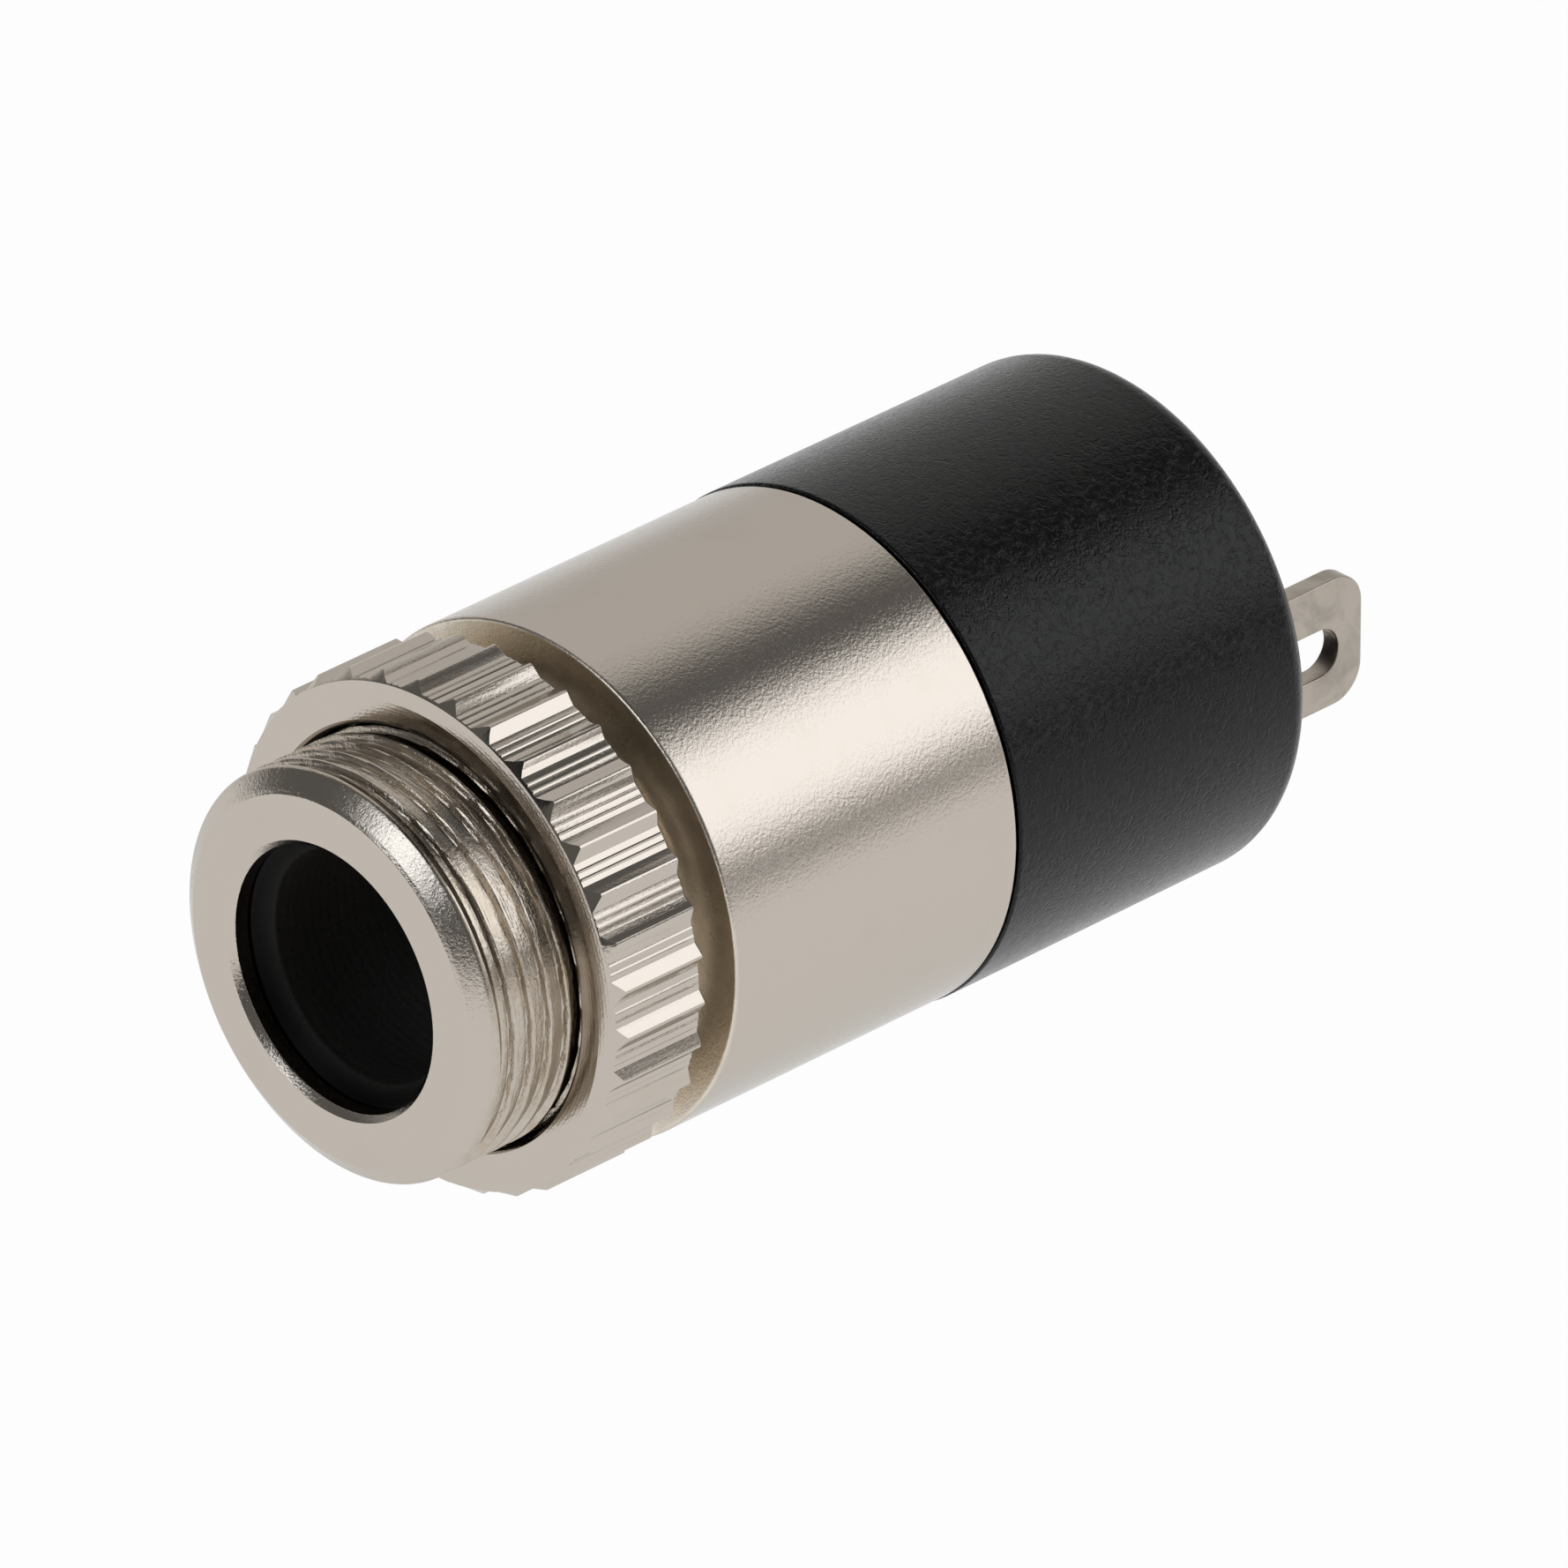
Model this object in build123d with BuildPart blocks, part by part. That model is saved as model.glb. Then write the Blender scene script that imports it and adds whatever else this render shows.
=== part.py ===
"""Panel-mount audio jack socket: turned shell, knurled ring nut, moulded barrel and spring contacts.

The jack's axis lies along Y. The mouth faces -Y, the solder lugs point along +Y, and Z is up. The
origin is the centre of the shoulder that seats on the panel. Lengths are in millimetres.
"""

import os
from math import cos, radians, sin

from build123d import *

# Shell, one turned piece
body_d = 8.0
body_len = 5.6
body_edge = 0.06
seam_edge = 0.05
neck_d = 6.36
neck_len = 4.19
neck_lead = 0.25
neck_lead_depth = 0.35
relief_len = 0.3
relief_depth = 0.16
thread_pitch = 0.35
thread_depth = 0.1
mouth_d = 4.1
mouth_sink = 0.1
lip_len = 0.35
nose_bore_d = 5.0
shell_wall = 0.5
web = 0.6

# Ring nut, fluted straight all round
nut_wall = 0.79
nut_len = 1.75
nut_gap = 0.62
nut_play = 0.05
nut_sink = 0.07
nut_lead = 0.16
nut_lead_depth = 0.4
nut_rear_edge = 0.05
flute_count = 34
flute_w = 0.54
flute_depth = 0.12
flute_turn = 4.5

# Barrel, moulded behind the shell
barrel_front_d = 8.04
barrel_rear_d = 8.02
barrel_len = 5.98
barrel_edge = 0.41
rear_wall = 0.8
seam_gap = 0.04
spigot_len = 2.0
spigot_play = 0.02

# Contact carrier, moulded, inside the shell and the barrel
carrier_d = 6.02
carrier_play = 0.05
nose_play = 0.05
guide_d = 3.6
guide_lead = 0.25
plug_space_d = 4.1
end_wall = 0.5

# Contacts, stamped strips that end in solder lugs
strip_t = 0.33
strip_w = 1.2
strip_play = 0.05
nose_reach = 1.5
arm_len = 2.6
arm_tip_len = 0.6
arm_tip_rise = 0.45
arm_bend_r = 0.35
lug_len = 2.04
lug_w = 2.09
lug_corner_r = 0.55
eye_w = 0.78
eye_len = 1.25
eye_margin = 0.47
eye_drop = 0.1
slot_play = 0.05

# Where each contact touches the plug, from the mouth
sleeve_touch = 5.75
ring_touch = 7.8
tip_touch = 12.0

# Each contact's station, and which way round its strip lies
contact_places = {
    "sleeve_contact": (sleeve_touch, 0),
    "ring_contact": (ring_touch, 270),
    "tip_contact": (tip_touch, 180),
}

body_r = body_d / 2
neck_r = neck_d / 2
mouth_r = mouth_d / 2
nose_bore_r = nose_bore_d / 2
shell_bore_r = body_r - shell_wall
nut_bore_r = neck_r + nut_play
nut_r = nut_bore_r + nut_wall
nut_rear = -nut_gap
nut_front = nut_rear - nut_len
barrel_front = body_len + seam_gap
barrel_rear = barrel_front + barrel_len
spigot_front = barrel_front - spigot_len
carrier_r = carrier_d / 2
cavity_r = carrier_r + carrier_play
cavity_end = barrel_rear - rear_wall
carrier_end = cavity_end - carrier_play
plug_space_r = plug_space_d / 2
strip_outer = (cavity_r**2 - (strip_w / 2) ** 2) ** 0.5 - strip_play
strip_mid = strip_outer - strip_t / 2
strip_inner = strip_outer - strip_t
lug_tip = barrel_rear + lug_len

os.makedirs("parts", exist_ok=True)


def side_plane(angle):
    """The plane through the jack's axis whose X points out at this angle, from +X towards +Z."""
    turn = radians(angle)
    return Plane(origin=(0, 0, 0), x_dir=(cos(turn), 0, sin(turn)), z_dir=(-sin(turn), 0, cos(turn)))


def lug_plane(angle):
    """The plane of a strip's inner face: Y of the plane runs along the jack."""
    turn = radians(angle)
    out = Vector(cos(turn), 0, sin(turn))
    return Plane(origin=out * strip_inner, x_dir=(sin(turn), 0, -cos(turn)), z_dir=out)


def save(part, name):
    """Labels a finished piece and writes it."""
    part.label = name
    export_step(part, f"parts/{name}.step")


# Shell: neck, shoulder and body turned from one bar, the thread as a ring groove for each turn
thread_turns = int((neck_len - neck_lead - relief_len) / thread_pitch)
grooves = []
for turn in range(thread_turns, 0, -1):
    crest = -relief_len - turn * thread_pitch
    grooves += [(neck_r, crest), (neck_r - thread_depth, crest + thread_pitch / 2)]
with BuildPart() as shell:
    with BuildSketch(Plane.XY):
        with BuildLine():
            Polyline(
                (mouth_r + mouth_sink, -neck_len),
                (neck_r - neck_lead_depth, -neck_len),
                (neck_r, -neck_len + neck_lead),
                *grooves,
                (neck_r, -relief_len),
                (neck_r - relief_depth, -relief_len + relief_depth),
                (neck_r - relief_depth, 0),
                (body_r - body_edge, 0),
                (body_r, body_edge),
                (body_r, body_len - seam_edge),
                (body_r - seam_edge, body_len),
                (shell_bore_r, body_len),
                (shell_bore_r, web),
                (nose_bore_r, web),
                (nose_bore_r, -neck_len + lip_len),
                (mouth_r, -neck_len + lip_len),
                (mouth_r, -neck_len + mouth_sink),
                close=True,
            )
        make_face()
    revolve(axis=Axis.Y)
save(shell.part, "shell")

# Ring nut: a chamfered ring with round-bottomed flutes cut straight along it
with BuildPart() as ring_nut:
    with BuildSketch(Plane.XY):
        with BuildLine():
            Polyline(
                (nut_bore_r + nut_sink, nut_front),
                (nut_r - nut_lead_depth, nut_front),
                (nut_r, nut_front + nut_lead),
                (nut_r, nut_rear - nut_rear_edge),
                (nut_r - nut_rear_edge, nut_rear),
                (nut_bore_r + nut_sink, nut_rear),
                (nut_bore_r, nut_rear - nut_sink),
                (nut_bore_r, nut_front + nut_sink),
                close=True,
            )
        make_face()
    revolve(axis=Axis.Y)
    flute_r = (flute_w**2 / 4 + flute_depth**2) / (2 * flute_depth)
    with BuildSketch(Plane(origin=(0, nut_front, 0), x_dir=(1, 0, 0), z_dir=(0, 1, 0))):
        with PolarLocations(nut_r - flute_depth + flute_r, flute_count, start_angle=flute_turn):
            Circle(flute_r)
    extrude(amount=nut_len, mode=Mode.SUBTRACT)
save(ring_nut.part, "ring_nut")

# Barrel: a drafted cup whose spigot plugs into the shell, with a slot for each lug
with BuildPart() as barrel:
    spigot_r = shell_bore_r - spigot_play
    with BuildSketch(Plane.XY):
        with BuildLine():
            Polyline(
                (cavity_r, spigot_front),
                (spigot_r, spigot_front),
                (spigot_r, barrel_front),
                (barrel_front_d / 2, barrel_front),
                (barrel_rear_d / 2, barrel_rear),
                (0, barrel_rear),
                (0, cavity_end),
                (cavity_r, cavity_end),
                close=True,
            )
        make_face()
    revolve(axis=Axis.Y)
    rear_rim = barrel.edges().filter_by(GeomType.CIRCLE).group_by(Axis.Y)[-1]
    fillet(rear_rim, barrel_edge)
    for station, angle in contact_places.values():
        with BuildSketch(side_plane(angle)):
            with Locations((strip_mid, barrel_rear)):
                Rectangle(strip_t + 2 * slot_play, 2 * (rear_wall + slot_play))
        extrude(amount=lug_w / 2 + slot_play, both=True, mode=Mode.SUBTRACT)
save(barrel.part, "barrel")

# Contact carrier: nose and guide bore in front, flange in the shell, a groove for each strip
with BuildPart() as contact_carrier:
    nose_front = -neck_len + lip_len + nose_play
    flange_end = spigot_front - carrier_play
    with BuildSketch(Plane.XY):
        with BuildLine():
            Polyline(
                (guide_d / 2 + guide_lead, nose_front),
                (nose_bore_r - nose_play, nose_front),
                (nose_bore_r - nose_play, web),
                (shell_bore_r - carrier_play, web),
                (shell_bore_r - carrier_play, flange_end),
                (carrier_r, flange_end),
                (carrier_r, carrier_end),
                (0, carrier_end),
                (0, carrier_end - end_wall),
                (plug_space_r, carrier_end - end_wall),
                (plug_space_r, web),
                (guide_d / 2, web),
                (guide_d / 2, nose_front + guide_lead),
                close=True,
            )
        make_face()
    revolve(axis=Axis.Y)
    for station, angle in contact_places.values():
        touch = station - neck_len
        window_front = touch - arm_tip_len - strip_t
        groove_floor = strip_inner - strip_play
        with BuildSketch(side_plane(angle)):
            with BuildLine():
                Polyline(
                    (0, window_front),
                    (body_r, window_front),
                    (body_r, carrier_end),
                    (groove_floor, carrier_end),
                    (groove_floor, touch + arm_len),
                    (0, touch + arm_len),
                    close=True,
                )
            make_face()
        extrude(amount=strip_w / 2 + strip_play, both=True, mode=Mode.SUBTRACT)
save(contact_carrier.part, "contact_carrier")

# Contacts: a bent strip whose nose presses on the plug, widened into a lug behind the rear wall
for name, (station, angle) in contact_places.items():
    touch = station - neck_len
    with BuildPart() as contact:
        with BuildSketch(side_plane(angle)):
            with BuildLine():
                FilletPolyline(
                    (nose_reach + strip_t / 2 + arm_tip_rise, touch - arm_tip_len),
                    (nose_reach + strip_t / 2, touch),
                    (strip_mid, touch + arm_len),
                    (strip_mid, barrel_rear),
                    radius=arm_bend_r,
                )
            trace(line_width=strip_t)
        extrude(amount=strip_w / 2, both=True)
        with BuildSketch(lug_plane(angle)):
            with Locations((0, (cavity_end + lug_tip) / 2)):
                RectangleRounded(lug_w, lug_tip - cavity_end, lug_corner_r)
            with Locations((eye_drop, lug_tip - eye_margin - eye_len / 2)):
                SlotOverall(eye_len, eye_w, rotation=90, mode=Mode.SUBTRACT)
        extrude(amount=strip_t)
    save(contact.part, name)
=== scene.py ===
import random
from math import atan2, cos, pi, radians, sin, tan

import bmesh
import bpy
from bpy.props import FloatProperty, FloatVectorProperty, IntProperty, PointerProperty
from mathutils import Matrix, Vector


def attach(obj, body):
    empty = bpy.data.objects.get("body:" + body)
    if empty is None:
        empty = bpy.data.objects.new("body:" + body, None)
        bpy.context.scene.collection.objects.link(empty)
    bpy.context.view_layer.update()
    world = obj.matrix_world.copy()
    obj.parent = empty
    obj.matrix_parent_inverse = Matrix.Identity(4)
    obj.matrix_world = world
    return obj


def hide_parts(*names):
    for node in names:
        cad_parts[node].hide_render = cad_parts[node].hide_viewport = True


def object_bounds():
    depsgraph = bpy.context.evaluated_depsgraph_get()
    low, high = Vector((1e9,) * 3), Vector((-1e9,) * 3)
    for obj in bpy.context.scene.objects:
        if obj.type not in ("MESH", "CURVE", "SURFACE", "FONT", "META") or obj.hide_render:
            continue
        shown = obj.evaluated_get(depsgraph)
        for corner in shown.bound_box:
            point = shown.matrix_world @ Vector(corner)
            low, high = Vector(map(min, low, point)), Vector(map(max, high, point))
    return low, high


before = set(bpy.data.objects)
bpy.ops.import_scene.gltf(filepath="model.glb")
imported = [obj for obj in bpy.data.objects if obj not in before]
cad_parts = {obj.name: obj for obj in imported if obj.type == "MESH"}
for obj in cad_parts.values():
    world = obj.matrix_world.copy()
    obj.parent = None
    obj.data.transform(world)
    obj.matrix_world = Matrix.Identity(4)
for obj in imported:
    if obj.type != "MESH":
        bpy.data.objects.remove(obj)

bl_info = {
    "name": "Audio Jack Socket",
    "version": (1, 0, 0),
    "blender": (4, 5, 0),
    "location": "3D View > Sidebar > Jack",
    "description": "Builds a panel-mount audio jack socket with its studio light and camera",
    "category": "Add Mesh",
}

SOLID_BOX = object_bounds()


# Settings

def length(name, description, default):
    """A size in metres that the sidebar shows."""
    return FloatProperty(name=name, description=description, default=default, min=0.0,
                         precision=6, subtype="DISTANCE", unit="LENGTH")


def share(name, description, default, top=1.0):
    """A plain number that the sidebar shows."""
    return FloatProperty(name=name, description=description, default=default, min=0.0, max=top,
                         precision=3)


def tint(name, description, default):
    """A colour that the sidebar shows."""
    return FloatVectorProperty(name=name, description=description, default=default, size=4,
                               min=0.0, max=1.0, subtype="COLOR")


class ShellSettings(bpy.types.PropertyGroup):
    """The turned metal shell: threaded neck in front, plain body behind"""
    body_d: length("Body diameter", "Across the plain body", 0.008)
    body_len: length("Body length", "From the shoulder to the seam", 0.0056)
    shoulder_round: length("Shoulder rounding", "Radius of the shoulder's edge", 0.00006)
    neck_d: length("Neck diameter", "Across the thread's crests", 0.00636)
    neck_len: length("Neck length", "From the shoulder to the front face", 0.00419)
    face_d: length("Front face", "Across the flat ring round the mouth", 0.00566)
    lead_len: length("Lead length", "How far the neck's lead runs along it", 0.00025)
    mouth_d: length("Mouth", "Across the opening in the lip", 0.0041)
    pitch: length("Thread pitch", "From one crest to the next", 0.00035)
    depth: length("Thread depth", "From crest to root", 0.0001)


class NutSettings(bpy.types.PropertyGroup):
    """The knurled ring nut"""
    outer_d: length("Diameter", "Across the teeth", 0.00804)
    width: length("Width", "Along the neck", 0.00175)
    gap: length("Gap", "From the shoulder to the nut's rear face", 0.00062)
    face_d: length("Front face", "Across the flat ring on the nut's front", 0.00728)
    lead_len: length("Lead length", "How far the rounding behind the front face runs", 0.00022)
    flutes: IntProperty(name="Flutes", description="Flutes round the nut", default=34, min=8)
    depth: length("Flute depth", "From crest to flute", 0.00012)
    foot: length("Tooth flank", "Width of each side of a tooth", 0.0002)
    line: length("Line", "Height of the fine lines on a flute's floor", 0.000014)
    turn: FloatProperty(name="Turn", description="Where the first flute lies", unit="ROTATION",
                        default=radians(-6.8))
    wander: share("Unevenness", "How much the flutes differ", 0.12)


class BarrelSettings(bpy.types.PropertyGroup):
    """The moulded rear barrel"""
    front_d: length("Front diameter", "Across the barrel at the seam", 0.00804)
    rear_d: length("Rear diameter", "Across the barrel at its rear", 0.00802)
    body_len: length("Length", "From the seam to the rear face", 0.00598)
    rear_round: length("Rear rounding", "Radius of the rear edge", 0.00041)
    seam: length("Seam", "Width of the seam behind the shell", 0.00004)


class ContactSettings(bpy.types.PropertyGroup):
    """The three stamped contacts"""
    strip_t: length("Strip thickness", "Thickness of the stamped strip", 0.00033)
    strip_w: length("Strip width", "Width of the strip inside", 0.0012)
    lug_w: length("Lug width", "Width of the solder lug", 0.00209)
    lug_len: length("Lug length", "From the rear face to the lug's tip", 0.00204)
    lug_round: length("Lug rounding", "Radius of the lug's corners", 0.00055)
    eye_w: length("Eye width", "Width of the slotted eye", 0.00078)
    eye_len: length("Eye length", "Length of the slotted eye", 0.00125)
    eye_drop: length("Eye offset", "How far the eye lies off the middle", 0.0001)
    edge: length("Edge rounding", "Rounding of the stamped edges", 0.00003)


class FinishSettings(bpy.types.PropertyGroup):
    """Colours and surfaces"""
    nickel: tint("Nickel", "Plating on the shell and nut", (0.525, 0.477, 0.421, 1.0))
    # Tarnish on the thread; in the relief behind the nut it also stands for a painted warm reflection
    # between nut and shoulder
    tarnish: tint("Tarnish", "Plating on the thread and in the corners", (0.44, 0.375, 0.295, 1.0))
    # Pale warm painted light for the gap behind the nut: the shoulder's corner and the nut's rear face
    fresh: tint("Fresh plate", "Plating that the nut has kept covered", (0.82, 0.75, 0.64, 1.0))
    # Near-black painted shade for the nut's bore, standing in for the shadow in the gap between neck
    # and nut
    grime: tint("Grime", "Oily dirt inside the nut", (0.012, 0.010, 0.008, 1.0))
    barrel: tint("Barrel plastic", "Moulded rear barrel", (0.002, 0.002, 0.002, 1.0))
    carrier: tint("Carrier plastic", "Moulding inside the neck", (0.0018, 0.0017, 0.0016, 1.0))
    lug: tint("Contact metal", "Stamped strips", (0.45, 0.405, 0.35, 1.0))
    gloss: share("Nickel roughness", "Roughness of the plating", 0.095)


class StageSettings(bpy.types.PropertyGroup):
    """Floor, lights and camera"""
    floor: tint("Floor", "Colour of the floor", (0.92, 0.92, 0.915, 1.0))
    drop: length("Floor drop", "From the lowest point down to the floor", 0.012)
    side_light: share("Side softbox", "Brightness of the softbox on the right", 1.13, 10.0)
    front_light: share("Front softbox", "Brightness of the softbox on the left", 2.2, 10.0)
    room: share("Room", "Brightness of the pale wall behind the table", 0.74, 10.0)
    shade: share("Shade", "Brightness of the room's dark parts", 0.15, 10.0)
    lens: length("Lens", "Focal length on a 36 mm sensor", 0.586812)
    distance: length("Distance", "From the camera to the front face", 0.3629)
    azimuth: FloatProperty(name="Turn", description="Camera's turn about the vertical",
                           unit="ROTATION", default=radians(45.8673))
    elevation: FloatProperty(name="Height", description="Camera's angle above level",
                             unit="ROTATION", default=radians(29.4215))


GROUPS = {
    "jack_shell": ShellSettings,
    "jack_nut": NutSettings,
    "jack_barrel": BarrelSettings,
    "jack_contacts": ContactSettings,
    "jack_finish": FinishSettings,
    "jack_stage": StageSettings,
}

# Sizes of the inside and of small features, in millimetres, as the solids have them
PLAY = 0.05
SHELL_WALL = 0.5
WEB = 0.6
MOUTH_SINK = 0.1
LIP_LEN = 0.35
NOSE_BORE_R = 2.5
RELIEF_LEN = 0.3
RELIEF_DEPTH = 0.16
SPIGOT_LEN = 2.0
SPIGOT_PLAY = 0.02
CAVITY_R = 3.06
REAR_WALL = 0.8
END_WALL = 0.5
GUIDE_R = 1.8
GUIDE_LEAD = 0.25
PLUG_SPACE_R = 2.05
NOSE_REACH = 1.5
ARM_LEN = 2.6
ARM_TIP_LEN = 0.6
ARM_TIP_RISE = 0.45
ARM_BEND_R = 0.35
EYE_MARGIN = 0.47

# Each contact's station behind the mouth, and the angle at which its strip lies
CONTACTS = {
    "sleeve_contact": (5.75, radians(0)),
    "ring_contact": (7.8, radians(270)),
    "tip_contact": (12.0, radians(180)),
}

# Two lengths this close count as one
NEAR = 0.001

# How far the plating's relief rises, in metres
PLATING_RELIEF = 0.0000022

# How far off the softboxes hang, in metres, and each one's direction, size and brightness setting
SOFTBOX_DISTANCE = 0.6
SOFTBOXES = {
    "side softbox": ((0.618, 0.6065, 0.50), (0.45, 0.36), "side_light"),
    "front softbox": ((-0.12, -0.87, 0.47), (0.30, 0.26), "front_light"),
}


class Millimetres:
    """A settings group read with its sizes in millimetres."""

    def __init__(self, group):
        self.group = group

    def __getattr__(self, name):
        value = getattr(self.group, name)
        metres = self.group.bl_rna.properties[name].unit == "LENGTH"
        return value * 1000 if metres else value


def sizes(name):
    """The named settings group of the scene, in millimetres."""
    return Millimetres(getattr(bpy.context.scene, name))


# Lines and meshes, in millimetres until a piece is finished

def rounded(corners, steps=4, closed=True):
    """Corners of (across, along, radius) as a line of points, each corner rounded to its radius."""
    line = []
    last = len(corners) - 1
    for place, (across, along, radius) in enumerate(corners):
        here = Vector((across, along))
        if not closed and place in (0, last):
            line.append(here)
            continue
        before = (Vector(corners[place - 1][:2]) - here).normalized()
        after = (Vector(corners[(place + 1) % len(corners)][:2]) - here).normalized()
        half = before.angle(after) / 2
        middle = here + (before + after).normalized() * radius / sin(half)
        start = here + before * radius / tan(half) - middle
        end = here + after * radius / tan(half) - middle
        begin = atan2(start.y, start.x)
        sweep = (atan2(end.y, end.x) - begin + pi) % (2 * pi) - pi
        for step in range(steps + 1):
            angle = begin + sweep * step / steps
            line.append(middle + Vector((cos(angle), sin(angle))) * radius)
    return line


def divided(line, step, inside):
    """The closed line with points added along the runs whose two ends are both inside."""
    fine = []
    for place, point in enumerate(line):
        after = line[(place + 1) % len(line)]
        fine.append(point)
        parts = int((after - point).length / step)
        if parts > 1 and inside(point) and inside(after):
            fine.extend(point.lerp(after, part / parts) for part in range(1, parts))
    return fine


def skinned(columns, closed):
    """A mesh whose columns of points stand side by side, all the way round."""
    shape = bmesh.new()
    rows = [[shape.verts.new(point) for point in column] for column in columns]
    for place, here in enumerate(rows):
        beside = rows[(place + 1) % len(rows)]
        for row in range(len(here) - (0 if closed else 1)):
            above = (row + 1) % len(here)
            shape.faces.new((here[row], beside[row], beside[above], here[above]))
    bmesh.ops.remove_doubles(shape, verts=shape.verts, dist=1e-5)
    bmesh.ops.recalc_face_normals(shape, faces=shape.faces)
    return as_mesh(shape)


def as_mesh(shape):
    """The shape as a new mesh."""
    mesh = bpy.data.meshes.new("work")
    shape.to_mesh(mesh)
    shape.free()
    return mesh


def eased(value):
    """A smooth step from 0 to 1."""
    value = min(1.0, max(0.0, value))
    return value * value * (3 - 2 * value)


def turned(line, count, closed=True, reshape=None):
    """A line of (radius, station) points turned about the jack's axis."""
    columns = []
    for place in range(count):
        angle = 2 * pi * place / count
        column = []
        for radius, station in line:
            if reshape:
                radius = reshape(radius, station, angle)
            column.append((radius * cos(angle), station, radius * sin(angle)))
        columns.append(column)
    return skinned(columns, closed)


def side_plane(angle):
    """The plane through the axis that points out at this angle, its Y along the jack."""
    return Matrix(((cos(angle), 0, -sin(angle), 0), (0, 1, 0, 0),
                   (sin(angle), 0, cos(angle), 0), (0, 0, 0, 1)))


def lug_plane(angle, height):
    """The plane that faces out at this angle and height, its Y along the jack."""
    return Matrix(((sin(angle), 0, cos(angle), height * cos(angle)), (0, 1, 0, 0),
                   (-cos(angle), 0, sin(angle), height * sin(angle)), (0, 0, 0, 1)))


def plate(loops, thickness, edge, plane):
    """A flat plate with the loops' outline and holes, its edges rounded off."""
    curve = bpy.data.curves.new("work", "CURVE")
    curve.dimensions = "2D"
    curve.fill_mode = "BOTH"
    curve.extrude = thickness / 2 - edge
    curve.bevel_depth = edge
    curve.bevel_resolution = 2
    curve.offset = -edge
    for loop in loops:
        spline = curve.splines.new("POLY")
        spline.points.add(len(loop) - 1)
        for point, (across, along) in zip(spline.points, loop):
            point.co = (across, along, 0, 1)
        spline.use_cyclic_u = True
    holder = bpy.data.objects.new("work", curve)
    bpy.context.collection.objects.link(holder)
    graph = bpy.context.evaluated_depsgraph_get()
    mesh = bpy.data.meshes.new_from_object(holder.evaluated_get(graph))
    bpy.data.objects.remove(holder)
    mesh.transform(plane)
    shape = bmesh.new()
    shape.from_mesh(mesh)
    bmesh.ops.remove_doubles(shape, verts=shape.verts, dist=1e-4)
    bmesh.ops.recalc_face_normals(shape, faces=shape.faces)
    return as_mesh(shape)


def combined(base, others, operation):
    """The base mesh after each other mesh is cut from it or joined to it."""
    holder = bpy.data.objects.new("work", base)
    bpy.context.collection.objects.link(holder)
    helpers = []
    for other in others:
        helper = bpy.data.objects.new("work", other)
        bpy.context.collection.objects.link(helper)
        step = holder.modifiers.new("work", "BOOLEAN")
        step.operation = operation
        step.solver = "EXACT"
        step.object = helper
        helpers.append(helper)
    graph = bpy.context.evaluated_depsgraph_get()
    mesh = bpy.data.meshes.new_from_object(holder.evaluated_get(graph))
    for used in helpers + [holder]:
        bpy.data.objects.remove(used)
    if not mesh.polygons:
        raise RuntimeError("a cut left nothing of the piece")
    return mesh


def finished(mesh, name, body, material, crease=30):
    """Scales a mesh to metres and hands it over in place of its plain solid."""
    mesh.name = name
    mesh.transform(Matrix.Scale(0.001, 4))
    mesh.shade_smooth()
    mesh.set_sharp_from_angle(angle=radians(crease))
    mesh.materials.clear()
    mesh.materials.append(material)
    piece = bpy.data.objects.new(name + "_look", mesh)
    bpy.context.collection.objects.link(piece)
    even = piece.modifiers.new("even shading", "WEIGHTED_NORMAL")
    even.keep_sharp = True
    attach(piece, body)
    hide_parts(name)
    return piece


# Materials

class Number:
    """A number that varies over a surface, so that shader sums read as ordinary expressions."""

    def __init__(self, paint, socket):
        self.paint = paint
        self.socket = socket

    def beside(self, name):
        """Another output of the same node."""
        return Number(self.paint, self.socket.node.outputs[name])

    def sum(self, operation, *values):
        """What a Math node makes of the values."""
        return self.paint.node("ShaderNodeMath", {"operation": operation}, dict(enumerate(values)))

    def __add__(self, other):
        return self.sum("ADD", self, other)

    def __radd__(self, other):
        return self.sum("ADD", other, self)

    def __sub__(self, other):
        return self.sum("SUBTRACT", self, other)

    def __rsub__(self, other):
        return self.sum("SUBTRACT", other, self)

    def __mul__(self, other):
        return self.sum("MULTIPLY", self, other)

    def __rmul__(self, other):
        return self.sum("MULTIPLY", other, self)

    def __truediv__(self, other):
        return self.sum("DIVIDE", self, other)

    def __pow__(self, other):
        return self.sum("POWER", self, other)

    def __abs__(self):
        return self.sum("ABSOLUTE", self)

    def wave(self):
        """Its sine."""
        return self.sum("SINE", self)

    def most(self, other):
        """The larger of the two."""
        return self.sum("MAXIMUM", self, other)

    def least(self, other):
        """The smaller of the two."""
        return self.sum("MINIMUM", self, other)


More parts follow.
